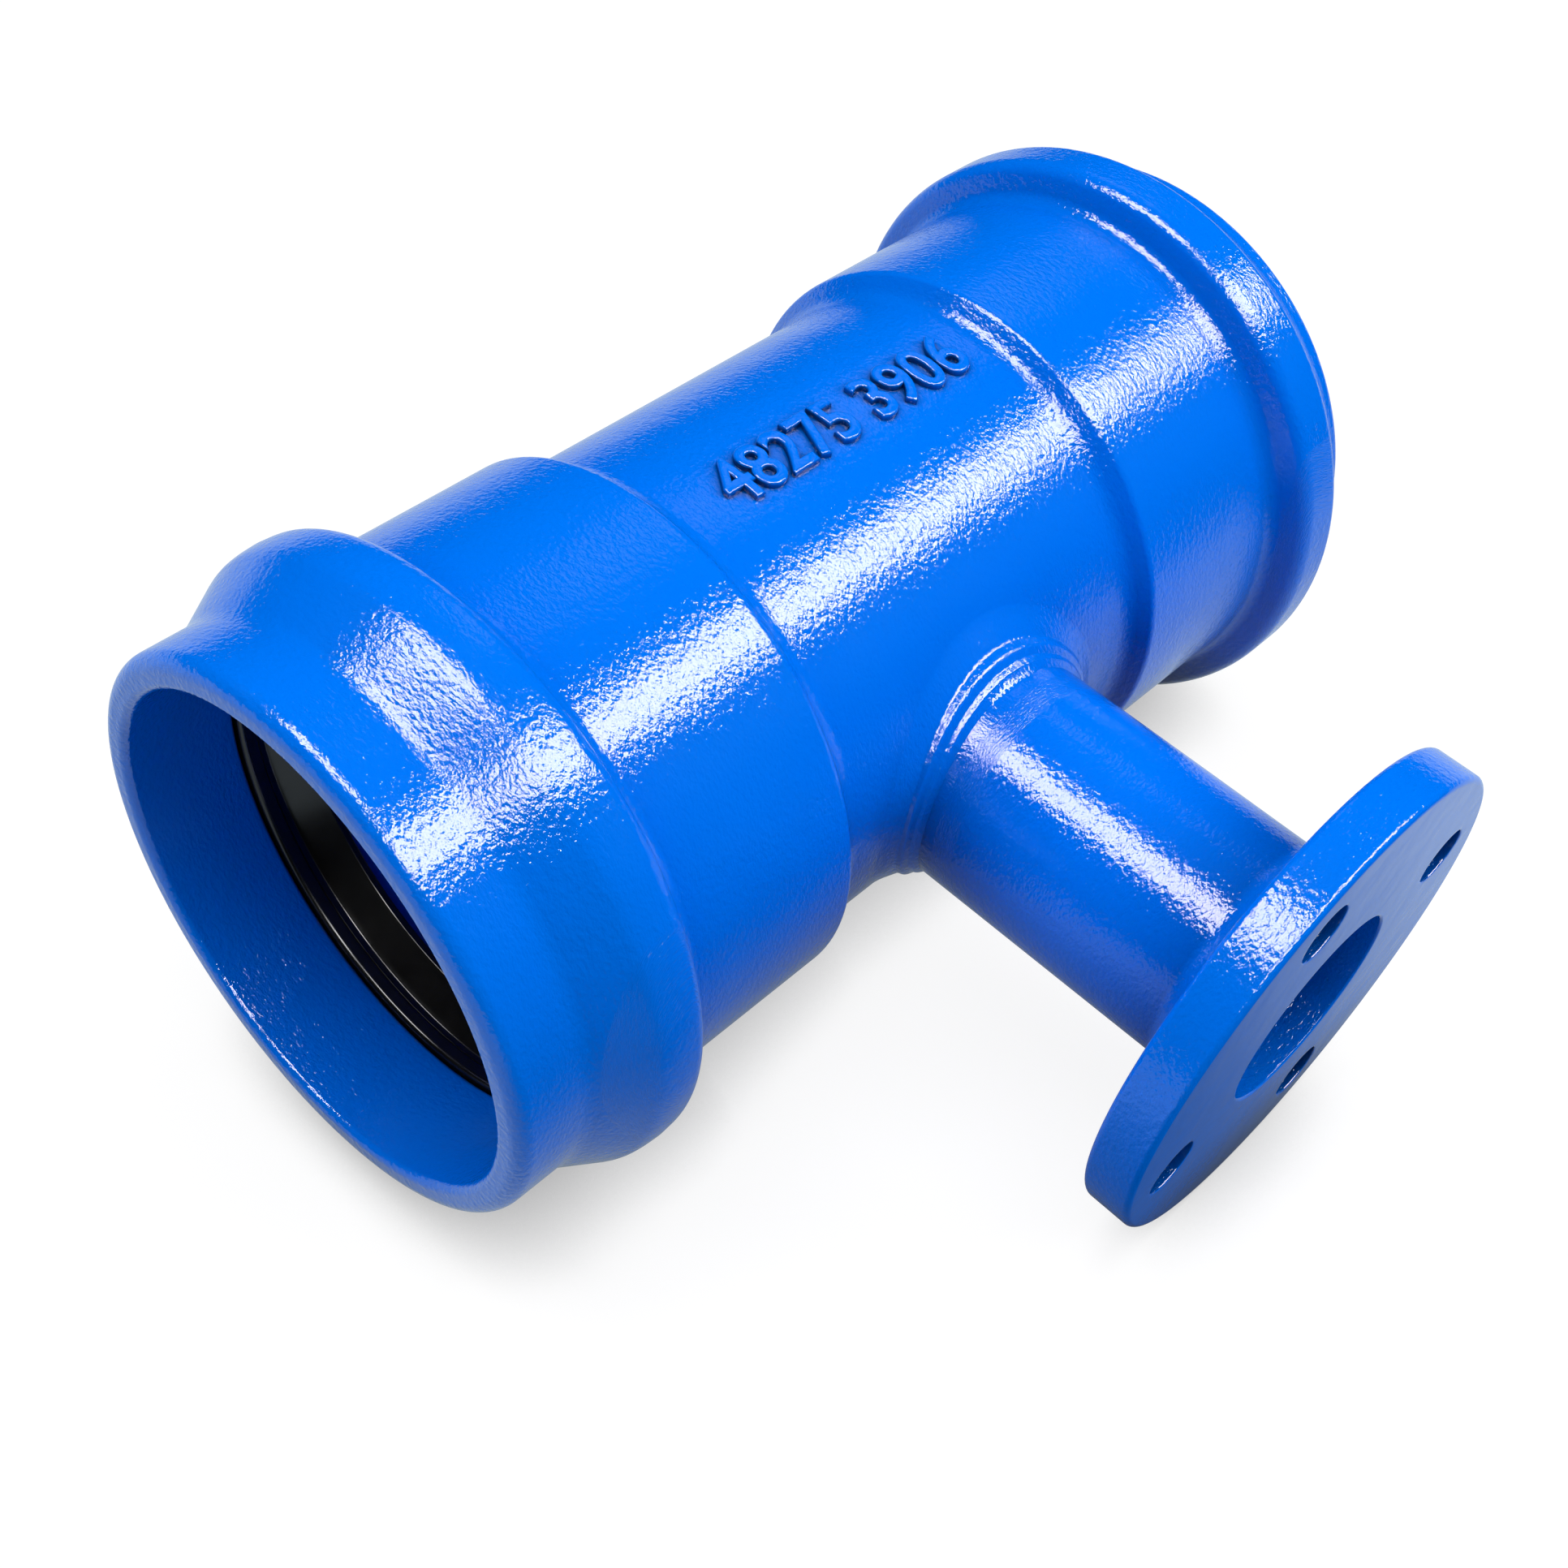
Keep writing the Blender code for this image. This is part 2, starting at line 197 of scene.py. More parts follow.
# Painted shade in the coat's colour, darker in hollows: how far they are felt, the open shares
# between which the painted shade deepens, and what is left of the brightness in the deepest
PAINTED_SHADE_REACH = 0.06
PAINTED_SHADE_FROM = 0.42
PAINTED_SHADE_TO = 0.92
PAINTED_SHADE_DARKEST = 0.15
PAINTED_SHADE_SAMPLES = 8

# Finish of the rubber, whose sheen varies with a fine noise
RUBBER_COLOR = (0.004, 0.004, 0.0045, 1.0)
RUBBER_IOR = 1.5
RUBBER_CLOUD_SCALE = 120.0
RUBBER_CLOUD_DETAIL = 3.0
RUBBER_CLOUD_ROUGHNESS = 0.5
RUBBER_SMOOTHEST = 0.16
RUBBER_ROUGHEST = 0.28

# Fineness of the meshes
RUN_FACES = 192
BRANCH_FACES = 128
HOLE_FACES = 64
ARC_STEP = math.radians(9.0)
ROW_LENGTH = 0.004
CORE_ROW_LENGTH = 0.008
SHARP_ANGLE = math.radians(38.0)
EVEN_WEIGHT = 60
MERGE_DISTANCE = 0.00001
CUT_OVERRUN = 0.006

# Camera, from the fit to the photo
CAMERA_PLACE = (0.28982, -0.38002, 0.55291)
CAMERA_FORWARD = (-0.46757, 0.52546, -0.71082)
CAMERA_UP = (-0.50673, 0.49956, 0.70261)
CAMERA_LENS = 47.6
CAMERA_SENSOR = 36.0
CAMERA_NEAR = 0.01
CAMERA_FAR = 50.0

# Softboxes: direction from the tee as azimuth and elevation in degrees, distance, width, length
# along the run and radiance. The sheens show only as reflections, and the fills light only the
# surfaces' own colours.
SHEENS = {
    "strip_sheen": (8.7, 59.2, 1.89, 0.60, 3.79, 20.0),
    "top_sheen": (-115.0, 66.3, 1.7, 1.20, 0.66, 19.0),
    "back_sheen": (122.0, 47.0, 2.0, 0.80, 0.40, 0.7),
}
FILLS = {
    "overhead_fill": (0.0, 88.0, 2.2, 1.8, 1.8, 3.1),
    "right_fill": (38.0, 28.0, 2.2, 1.0, 1.3, 5.6),
    "front_fill": (-90.0, 12.0, 2.2, 1.3, 0.6, 2.2),
    "left_fill": (-150.0, 45.0, 2.2, 1.0, 1.2, 2.7),
}
SKY_COLOR = (1.0, 1.0, 1.0, 1.0)
SKY_STRENGTH = 0.20

# Ground: its side, the colour whose light the tee gets back, and what the camera sees of it
FLOOR_SIDE = 24.0
FLOOR_COLOR = (0.35, 0.35, 0.35, 1.0)
FLOOR_SEEN_SHADE = (0.15, 0.15, 0.15, 1.0)
FLOOR_SEEN_GLOW = 0.90

# Ground as the coat mirrors it, a painted reflection: its strength and its painted blue bounce
# tint, with a painted dark spot and a dark far side
FLOOR_IN_GLOSS = 0.75
FLOOR_PAINTED_BOUNCE_IN_GLOSS = (0.78, 0.92, 1.0)
FLOOR_DARK_SPOT = (0.34, -0.12, 0.0)
FLOOR_SPOT_INNER = 0.16
FLOOR_SPOT_OUTER = 0.38
FLOOR_DARK_FROM = 0.24
FLOOR_DARK_TO = 0.44

# Shade on the ground round the tee: reach as seen and as mirrored, the open shares between which
# it falls off, and what is left of the brightness in the deepest
CONTACT_REACH = 0.05
CONTACT_REACH_IN_GLOSS = 0.16
CONTACT_FROM = 0.10
CONTACT_TO = 0.72
CONTACT_DARKEST = 0.25
CONTACT_SAMPLES = 16

# Ways of the run and of the branch before rest_matrix() lays the tee down
RUN_WAY = Vector((0.0, 1.0, 0.0))
BRANCH_WAY = Vector((1.0, 0.0, 0.0))

# Radii that follow from the pipe and the walls
SOCKET_RADIUS = PIPE_DIAMETER / 2 + SOCKET_CLEARANCE
WATERWAY_RADIUS = SOCKET_RADIUS - PIPE_STOP_DEPTH
BODY_RADIUS = WATERWAY_RADIUS + BODY_WALL
BARREL_RADIUS = SOCKET_RADIUS + BARREL_WALL
GROOVE_RADIUS = SOCKET_RADIUS + GROOVE_DEPTH
HOUSING_RADIUS = GROOVE_RADIUS + HOUSING_WALL
COLLAR_RADIUS = SOCKET_RADIUS + COLLAR_WALL
BRANCH_BORE_RADIUS = BRANCH_BORE_DIAMETER / 2
BRANCH_RADIUS = BRANCH_BORE_RADIUS + BRANCH_WALL
FLANGE_RADIUS = FLANGE_DIAMETER / 2
BOLT_CIRCLE_RADIUS = FLANGE_RADIUS - BOLT_FROM_RIM


def rounded_outline(corners):
    """Points through corners given as (height, radius, round), with each round drawn as an arc."""
    points = []
    last = len(corners) - 1
    for index, (height, radius, rounding) in enumerate(corners):
        here = Vector((height, radius))
        if rounding <= 0 or index in (0, last):
            points.append(here)
            continue
        before = Vector(corners[index - 1][:2]) - here
        after = Vector(corners[index + 1][:2]) - here
        half_angle = before.angle(after) / 2
        # A round takes less than half of the shorter side beside it
        room = min(before.length, after.length) * ROUND_SHARE
        setback = min(rounding / math.tan(half_angle), room)
        arc_radius = setback * math.tan(half_angle)
        middle = (before.normalized() + after.normalized()).normalized()
        centre = here + middle * (arc_radius / math.sin(half_angle))
        start = here + before.normalized() * setback - centre
        turn = start.angle_signed(here + after.normalized() * setback - centre)
        steps = max(1, math.ceil(abs(turn) / ARC_STEP))
        for step in range(steps + 1):
            angle = -turn * step / steps
            swung = Vector((
                start.x * math.cos(angle) - start.y * math.sin(angle),
                start.x * math.sin(angle) + start.y * math.cos(angle),
            ))
            points.append(centre + swung)
    return points


def in_rows(points, row=ROW_LENGTH):
    """The same outline with its straight stretches split into rows, so that seams shade well."""
    split = [points[0]]
    for one, other in zip(points, points[1:]):
        rows = max(1, math.ceil((other - one).length / row))
        split.extend(one.lerp(other, step / rows) for step in range(1, rows + 1))
    return split


def turned(name, outline, faces, closed=False):
    """Mesh turned about its own Z from (height, radius) points, top of the outer side first."""
    shape = bmesh.new()
    verts = [shape.verts.new((point[1], 0.0, point[0])) for point in outline]
    edges = [shape.edges.new(pair) for pair in zip(verts, verts[1:])]
    if closed:
        edges.append(shape.edges.new((verts[-1], verts[0])))
    bmesh.ops.spin(
        shape,
        geom=verts + edges,
        axis=(0, 0, 1),
        cent=(0, 0, 0),
        angle=2 * math.pi,
        steps=faces,
        use_merge=True,
    )
    bmesh.ops.remove_doubles(shape, verts=shape.verts, dist=MERGE_DISTANCE)
    bmesh.ops.recalc_face_normals(shape, faces=shape.faces)
    mesh = bpy.data.meshes.new(name)
    shape.to_mesh(mesh)
    shape.free()
    return mesh


def crest_start():
    """Distance from the middle of the run at which a seal housing's crest starts."""
    return BODY_HALF_LENGTH + SHOULDER_LENGTH + BARREL_LENGTH + HOUSING_SHOULDER


def groove_span():
    """Distances from the middle of the run at which the seal's groove starts and ends."""
    start = crest_start() - GROOVE_BEFORE_CREST
    return start, start + GROOVE_LENGTH


def crest_end():
    """Distance from the middle of the run at which a housing's crest ends and its neck starts."""
    return groove_span()[1] - GROOVE_PAST_CREST


def front_mouth():
    """Distance from the middle of the run to the front socket's mouth."""
    return crest_end() + FRONT_NECK_LENGTH + FRONT_COLLAR_LENGTH


def back_mouth():
    """Distance from the middle of the run to the back socket's mouth."""
    return crest_end() + BACK_NECK_LENGTH + BACK_COLLAR_LENGTH


def front_crest():
    """Corners of the front housing's crest, which is crowned a little."""
    # Rounded as far as its sides allow, the crown's corner keeps FRONT_CROWN_KEPT of its height
    side = HOUSING_RADIUS - FRONT_CROWN * FRONT_CROWN_KEPT
    return [
        (crest_start(), side, HOUSING_CREST_ROUND),
        ((crest_start() + crest_end()) / 2, side + FRONT_CROWN, FRONT_CROWN_ROUND),
        (crest_end(), side, FRONT_NECK_ROUND),
    ]


def back_crest():
    """Corners of the back housing's crest, which is level and ends in a crisper edge."""
    return [
        (crest_start(), HOUSING_RADIUS, HOUSING_CREST_ROUND),
        (crest_end(), HOUSING_RADIUS, BACK_NECK_ROUND),
    ]


def run_half_corners(crest, mouth, collar_length):
    """Corners of one half of the run's outside, from the body out and over the rounded lip."""
    shoulder_end = BODY_HALF_LENGTH + SHOULDER_LENGTH
    inside = SOCKET_RADIUS - MOUTH_SKIN
    return [
        (BODY_HALF_LENGTH, BODY_RADIUS, SHOULDER_FILLET),
        (shoulder_end, BARREL_RADIUS, SHOULDER_EDGE_ROUND),
        (shoulder_end + BARREL_LENGTH, BARREL_RADIUS, HOUSING_FOOT_FILLET),
        *crest,
        (mouth - collar_length, COLLAR_RADIUS, COLLAR_FOOT_ROUND),
        (mouth, COLLAR_RADIUS, LIP_ROUND),
        (mouth, inside, MOUTH_ROUND),
        (mouth - MOUTH_SEAT, inside, 0.0),
        (mouth - MOUTH_SEAT, 0.0, 0.0),
    ]


def core_half_corners(mouth):
    """Corners of one half of the run's hollow, from the waterway out through its mouth."""
    stop = BODY_HALF_LENGTH + SHOULDER_LENGTH / 2
    groove_start, groove_end = groove_span()
    end = mouth + CUT_OVERRUN
    return [
        (stop, WATERWAY_RADIUS, STOP_ROUND),
        (stop, SOCKET_RADIUS, STOP_ROUND),
        (groove_start, SOCKET_RADIUS, STOP_ROUND),
        (groove_start, GROOVE_RADIUS, GROOVE_ROUND),
        (groove_end, GROOVE_RADIUS, GROOVE_ROUND),
        (groove_end, SOCKET_RADIUS, STOP_ROUND),
        (end, SOCKET_RADIUS, 0.0),
        (end, 0.0, 0.0),
    ]


def both_halves(back, front):
    """Outline of a turned form from its two halves, with the back one at its top."""
    mirrored = [(-height, radius, rounding) for height, radius, rounding in front]
    return rounded_outline(list(reversed(back)) + mirrored)


def run_outline():
    """Outline of the run's outside, with its mouths filled until the core cuts them."""
    back = run_half_corners(back_crest(), back_mouth(), BACK_COLLAR_LENGTH)
    front = run_half_corners(front_crest(), front_mouth(), FRONT_COLLAR_LENGTH)
    return both_halves(back, front)


def core_outline():
    """Outline of the run's hollow, with both sockets, their stops and their grooves."""
    return both_halves(core_half_corners(back_mouth()), core_half_corners(front_mouth()))


def branch_outline():
    """Outline of the branch tube and its flange, from the flange's face back to the run's axis."""
    back = BRANCH_REACH - FLANGE_THICKNESS
    inside = BRANCH_BORE_RADIUS - MOUTH_SKIN
    seat = BRANCH_REACH - BORE_SEAT
    return rounded_outline([
        (seat, 0.0, 0.0),
        (seat, inside, 0.0),
        (BRANCH_REACH, inside, BORE_EDGE_ROUND),
        (BRANCH_REACH, FLANGE_RADIUS, FLANGE_EDGE_ROUND),
        (back, FLANGE_RADIUS, FLANGE_EDGE_ROUND),
        (back, BRANCH_RADIUS + HUB_RISE, HUB_ROOT_FILLET),
        (back - HUB_LENGTH, BRANCH_RADIUS, HUB_FILLET),
        (0.0, BRANCH_RADIUS, 0.0),
        (0.0, 0.0, 0.0),
    ])


def branch_core_outline():
    """Outline of the branch's hollow, which ends on the run's axis inside the waterway."""
    return rounded_outline([
        (BRANCH_REACH + CUT_OVERRUN, 0.0, 0.0),
        (BRANCH_REACH + CUT_OVERRUN, BRANCH_BORE_RADIUS, 0.0),
        (0.0, BRANCH_BORE_RADIUS, 0.0),
        (0.0, 0.0, 0.0),
    ])


def drill_outline():
    """Outline of a bolt hole's drill, which eases the hole's edge on both faces of the flange."""
    radius = BOLT_HOLE_DIAMETER / 2
    middle = BRANCH_REACH - FLANGE_THICKNESS / 2
    half = FLANGE_THICKNESS / 2
    side = [(half + CUT_OVERRUN, 0.0), (half + CUT_OVERRUN, radius + BOLT_EDGE_ROUND * 2)]
    for outwards, wider in BOLT_EDGE_STEPS:
        side.append((half + BOLT_EDGE_ROUND * outwards, radius + BOLT_EDGE_ROUND * wider))
    mirrored = [(-height, across) for height, across in reversed(side)]
    return [Vector((middle + height, across)) for height, across in side + mirrored]


def saddle_section():
    """Saddle collar's section at its highest, as (height over the body, distance from the axis)."""
    outer = BRANCH_RADIUS + SADDLE_REACH
    crest = BRANCH_RADIUS + SADDLE_CREST_REACH
    step = BRANCH_RADIUS + SADDLE_STEP_REACH
    # The foot's flat end lies just under the body's surface, so that its fillet meets it at a
    # slight angle, and the upper end sinks into the branch tube in the same way
    return rounded_outline([
        (-SADDLE_SINK, outer + SADDLE_FOOT, 0.0),
        (-SADDLE_SINK, outer + SADDLE_FOOT * SADDLE_SLOPE_START, SADDLE_FOOT_FILLET),
        (SADDLE_SLOPE_HEIGHT, outer, SADDLE_SLOPE_FILLET),
        (SADDLE_CREST_HEIGHT, crest, SADDLE_CREST_ROUND),
        (SADDLE_STEP_HEIGHT, step, SADDLE_STEP_ROUND),
        (SADDLE_STEP_HEIGHT + SADDLE_STEP_RISE, step - SADDLE_STEP_RISE / 2, SADDLE_STEP_ROUND),
        (SADDLE_TOP_HEIGHT, BRANCH_RADIUS - SADDLE_TOP_SINK, 0.0),
        (-SADDLE_ROOT, BRANCH_RADIUS - SADDLE_ROOT, 0.0),
        (-SADDLE_ROOT, outer + SADDLE_FOOT, 0.0),
    ])


def make_saddle():
    """Ring lofted round the branch's axis, whose sections follow the body's curve."""
    shape = bmesh.new()
    rings = []
    for height, distance in saddle_section():
        ring = []
        for step in range(BRANCH_FACES):
            # Half a facet off the branch tube's corners, so that no edges lie along each other
            angle = 2 * math.pi * (step + 0.5) / BRANCH_FACES
            along = distance * math.cos(angle)
            side = distance * math.sin(angle)
            # The collar stands lower over the body's widest line, so that its rim lies nearly level
            share = SADDLE_SIDE_SHARE + (1 - SADDLE_SIDE_SHARE) * math.sin(angle) ** 2
            rise = height * share if height > 0 else height
            out = math.sqrt((BODY_RADIUS + rise) ** 2 - side ** 2)
            ring.append(shape.verts.new((out, along, side)))
        rings.append(ring)
    for one, other in zip(rings, rings[1:] + rings[:1]):
        for step in range(BRANCH_FACES):
            after = (step + 1) % BRANCH_FACES
            shape.faces.new((one[step], one[after], other[after], other[step]))
    bmesh.ops.recalc_face_normals(shape, faces=shape.faces)
    mesh = bpy.data.meshes.new("saddle_form")
    shape.to_mesh(mesh)
    shape.free()
    return mesh


def seal_outline():
    """Rubber ring's section: a heel in the groove, a front bead and a lip free at its back."""
    groove_start, groove_end = groove_span()
    back = groove_start + SEAL_CLEARANCE
    front = groove_end - SEAL_CLEARANCE
    middle = (back + front) / 2
    outer = GROOVE_RADIUS - SEAL_CLEARANCE
    bead = SOCKET_RADIUS - SEAL_BEAD_HEIGHT
    bead_back = front - SEAL_BEAD_LENGTH
    web = SOCKET_RADIUS + SEAL_WEB_DEPTH
    lip = SOCKET_RADIUS - SEAL_LIP_REACH
    lip_back = lip + SEAL_LIP_THICKNESS
    heel = lip_back + SEAL_NOTCH
    return rounded_outline([
        (middle, outer, 0.0),
        (back, outer, GROOVE_ROUND),
        (back, heel, SEAL_LIP_ROUND),
        (back + SEAL_LIP_LENGTH / 2, heel - SEAL_NOTCH / 2, SEAL_LIP_ROUND),
        (back, lip_back, SEAL_LIP_ROUND),
        (back, lip, SEAL_LIP_ROUND),
        (back + SEAL_LIP_FLAT, lip, SEAL_LIP_ROUND),
        (back + SEAL_LIP_LENGTH, web, SEAL_LIP_ROUND),
        (bead_back, web, SEAL_WEB_ROUND),
        (bead_back, bead, SEAL_BEAD_ROUND),
        (front, bead, SEAL_BEAD_ROUND),
        (front, outer, GROOVE_ROUND),
        (middle + SEAL_SEAM, outer, 0.0),
    ])


def rest_tilt():
    """Angle by which the branch dips, so that the flange's rim rests on the housings' ground."""
    rim_out = BRANCH_REACH - FLANGE_EDGE_ROUND
    rim_down = FLANGE_RADIUS - FLANGE_EDGE_ROUND
    ground = HOUSING_RADIUS - FLANGE_EDGE_ROUND
    return math.asin(ground / math.hypot(rim_out, rim_down)) - math.atan2(rim_down, rim_out)


def rest_matrix():
    """Placement of the crossing of the axes, with the part's box centred over the origin."""
    tilt = rest_tilt()
    rim_out = BRANCH_REACH - FLANGE_EDGE_ROUND
    rim_up = FLANGE_RADIUS - FLANGE_EDGE_ROUND
    farthest = rim_out * math.cos(tilt) + rim_up * math.sin(tilt) + FLANGE_EDGE_ROUND
    across = (HOUSING_RADIUS - farthest) / 2
    along = (front_mouth() - back_mouth()) / 2
    place = Matrix.Translation((across, along, HOUSING_RADIUS))
    return place @ Matrix.Rotation(tilt, 4, "Y")


def along_run(towards_back=True):
    """Turn that lays a form's Z along the run, with its faces square to the ground."""
    quarter = -math.pi / 2 if towards_back else math.pi / 2
    return Matrix.Rotation(-rest_tilt(), 4, "Y") @ Matrix.Rotation(quarter, 4, "X")


def half_facet(faces):
    """Turn about a form's own Z that sets its facets across those of the form that it cuts."""
    return Matrix.Rotation(math.pi / faces, 4, "Z")


def along_branch(side=0.0, up=0.0):
    """Move and turn that lay a form's Z along the branch."""
    return Matrix.Translation((0.0, side, up)) @ Matrix.Rotation(math.pi / 2, 4, "Y")


def make_object(name, mesh, matrix):
    """Object in the scene with its vertices moved by matrix and its own origin at the world's."""
    mesh.transform(rest_matrix() @ matrix)
    piece = bpy.data.objects.new(name, mesh)
    bpy.context.scene.collection.objects.link(piece)
    return piece


def combine(piece, operation, mesh, matrix):
    """Apply one Boolean step to a piece, and drop the form that did it."""
    form = make_object(mesh.name, mesh, matrix)
    step = piece.modifiers.new(mesh.name, "BOOLEAN")
    step.operation = operation
    step.solver = "EXACT"
    step.object = form
    evaluated = piece.evaluated_get(bpy.context.evaluated_depsgraph_get())
    result = bpy.data.meshes.new_from_object(evaluated)
    old = piece.data
    piece.modifiers.clear()
    piece.data = result
    bpy.data.meshes.remove(old)
    bpy.data.objects.remove(form, do_unlink=True)


def smooth(piece):
    """Smooth shading with crisp edges where faces meet at a wide angle."""
    shape = bmesh.new()
    shape.from_mesh(piece.data)
    bmesh.ops.remove_doubles(shape, verts=shape.verts, dist=MERGE_DISTANCE)
    bmesh.ops.dissolve_degenerate(shape, edges=shape.edges, dist=MERGE_DISTANCE)
    shape.to_mesh(piece.data)
    shape.free()
    piece.data.shade_smooth()
    piece.data.set_sharp_from_angle(angle=SHARP_ANGLE)
    weighted = piece.modifiers.new("even_shading", "WEIGHTED_NORMAL")
    weighted.keep_sharp = True
    weighted.weight = EVEN_WEIGHT


def make_body():
    """One-piece casting: run, saddle collar, branch and flange, less its cores and bolt holes."""
    run = turned("tee_casting", in_rows(run_outline()), RUN_FACES)
    body = make_object("tee_casting", run, along_run())
    combine(body, "UNION", make_saddle(), Matrix())
    branch = turned("branch_form", in_rows(branch_outline()), BRANCH_FACES)
    combine(body, "UNION", branch, along_branch())
    core = turned("run_core", in_rows(core_outline(), CORE_ROW_LENGTH), RUN_FACES)
    combine(body, "DIFFERENCE", core, along_run() @ half_facet(RUN_FACES))
    bore = turned("branch_core", in_rows(branch_core_outline(), CORE_ROW_LENGTH), BRANCH_FACES)
    combine(body, "DIFFERENCE", bore, along_branch() @ half_facet(BRANCH_FACES))
    for number in range(BOLT_COUNT):
        angle = FIRST_BOLT_ANGLE + 2 * math.pi * number / BOLT_COUNT
        side = BOLT_CIRCLE_RADIUS * math.cos(angle)
        up = BOLT_CIRCLE_RADIUS * math.sin(angle)
        drill = turned("bolt_drill", drill_outline(), HOLE_FACES)
        combine(body, "DIFFERENCE", drill, along_branch(side, up))
    smooth(body)
    return body


def make_seal(name, towards_back):
    """Rubber ring in the groove of the back socket or of the front one."""
    mesh = turned(name, in_rows(seal_outline()), RUN_FACES, closed=True)
    seal = make_object(name, mesh, along_run(towards_back))
    smooth(seal)
    return seal


def flat_numbers():
    """Mesh of the plain raised numbers at their real size, lying flat about their own middle."""
    curve = bpy.data.curves.new("cast_numbers", "FONT")
    curve.body = NUMBERS
    curve.align_x = "CENTER"
    curve.align_y = "CENTER"
    curve.resolution_u = CURVE_STEPS
    text = bpy.data.objects.new("cast_numbers_text", curve)
    bpy.context.scene.collection.objects.link(text)
    bpy.context.view_layer.update()
    width, height = text.dimensions.x, text.dimensions.y
    scale = NUMBERS_HEIGHT / height
    curve.extrude = (NUMBERS_RISE + NUMBERS_SINK) / 2 / scale
    curve.bevel_depth = NUMBERS_EDGE / scale
    curve.bevel_resolution = EDGE_STEPS
    curve.offset = (NUMBERS_BOLDNESS - NUMBERS_EDGE) / scale
    bpy.context.view_layer.update()
    evaluated = text.evaluated_get(bpy.context.evaluated_depsgraph_get())
    mesh = bpy.data.meshes.new_from_object(evaluated)
    mesh.name = "cast_numbers"
    bpy.data.objects.remove(text, do_unlink=True)

    shape = bmesh.new()
    shape.from_mesh(mesh)
    bmesh.ops.remove_doubles(shape, verts=shape.verts, dist=NUMBERS_MERGE)
    stretch = NUMBERS_LENGTH / width
    for vert in shape.verts:
        vert.co = Vector((vert.co.x * stretch, vert.co.y * scale, vert.co.z * scale))
    shape.to_mesh(mesh)
    shape.free()
    return mesh


def wrap_round_body(mesh):
    """Bend a flat mesh, cut in rows, round the top of the body and sink it in a little."""
    shape = bmesh.new()
    shape.from_mesh(mesh)
    rows = math.ceil(NUMBERS_HEIGHT / NUMBERS_ROW)
    for row in range(1, rows):
        bmesh.ops.bisect_plane(
            shape,
            geom=shape.verts[:] + shape.edges[:] + shape.faces[:],
            plane_co=(0.0, NUMBERS_HEIGHT * (row / rows - 0.5), 0.0),
            plane_no=(0.0, 1.0, 0.0),
            dist=CUT_DISTANCE,
        )
    top = max(vert.co.z for vert in shape.verts)
    middle = rest_matrix().translation
    for vert in shape.verts:
        radius = BODY_RADIUS + NUMBERS_RISE + vert.co.z - top
        angle = NUMBERS_ANGLE - vert.co.y / BODY_RADIUS
        out = Vector((math.sin(angle) * radius, 0.0, math.cos(angle) * radius))
        vert.co = middle + out + RUN_WAY * (NUMBERS_MIDDLE + vert.co.x)
    bmesh.ops.recalc_face_normals(shape, faces=shape.faces)
    shape.to_mesh(mesh)
    shape.free()


def make_numbers():
    """Raised plain numbers on top of the body."""
    mesh = flat_numbers()
    wrap_round_body(mesh)
    mesh.shade_smooth()
    mesh.set_sharp_from_angle(angle=NUMBERS_SHARP_ANGLE)
    numbers = bpy.data.objects.new("cast_numbers", mesh)
    bpy.context.scene.collection.objects.link(numbers)
    return numbers


def new_material(name):
    """New material with its nodes and links."""
    material = bpy.data.materials.new(name)
    material.use_nodes = True
    return material, material.node_tree.nodes, material.node_tree.links


def add_noise(nodes, links, place, scale, detail, roughness):
    """Noise texture at a place."""
    noise = nodes.new("ShaderNodeTexNoise")
    noise.inputs["Scale"].default_value = scale
    noise.inputs["Detail"].default_value = detail
    noise.inputs["Roughness"].default_value = roughness
    links.new(place, noise.inputs["Vector"])
    return noise


def multiplied(nodes, links, vector, shares):
    """The vector with each of its parts multiplied by its own share."""
    scaled = nodes.new("ShaderNodeVectorMath")
    scaled.operation = "MULTIPLY"
    scaled.inputs[1].default_value = shares
    links.new(vector, scaled.inputs[0])
    return scaled.outputs["Vector"]


def ripple_place(nodes, links, place):
    """Place for the coat's ripples, which lie round the run and, past the collar, the branch."""
    round_run = multiplied(nodes, links, place, (RIPPLE_STRETCH, 1.0, RIPPLE_STRETCH))
    round_branch = multiplied(nodes, links, place, (1.0, RIPPLE_STRETCH, RIPPLE_STRETCH))
    across = nodes.new("ShaderNodeSeparateXYZ")
    links.new(place, across.inputs["Vector"])
    share = nodes.new("ShaderNodeMapRange")
    share.inputs["From Min"].default_value = RIPPLE_TURN_START
    share.inputs["From Max"].default_value = RIPPLE_TURN_END
    links.new(across.outputs["X"], share.inputs["Value"])
    # The node's sockets share names between data types, so the vector ones are taken by number
    blend = nodes.new("ShaderNodeMix")
    blend.data_type = "VECTOR"
    links.new(share.outputs["Result"], blend.inputs[0])
    links.new(round_run, blend.inputs[4])
    links.new(round_branch, blend.inputs[5])
    return blend.outputs[1]


def add_bump(nodes, links, height, distance, strength, under=None):
    """Bump from a height, laid over another bump where one is given."""
    bump = nodes.new("ShaderNodeBump")
    bump.inputs["Distance"].default_value = distance
    bump.inputs["Strength"].default_value = strength
    links.new(height, bump.inputs["Height"])
    if under:
        links.new(under.outputs["Normal"], bump.inputs["Normal"])
    return bump


def fade(nodes, links, value, start, end, low, high):
    """Value carried smoothly from low at start to high at end."""
    step = nodes.new("ShaderNodeMapRange")
    step.interpolation_type = "SMOOTHSTEP"
    step.inputs["From Min"].default_value = start
    step.inputs["From Max"].default_value = end
    step.inputs["To Min"].default_value = low
    step.inputs["To Max"].default_value = high
    links.new(value, step.inputs["Value"])
    return step.outputs["Result"]


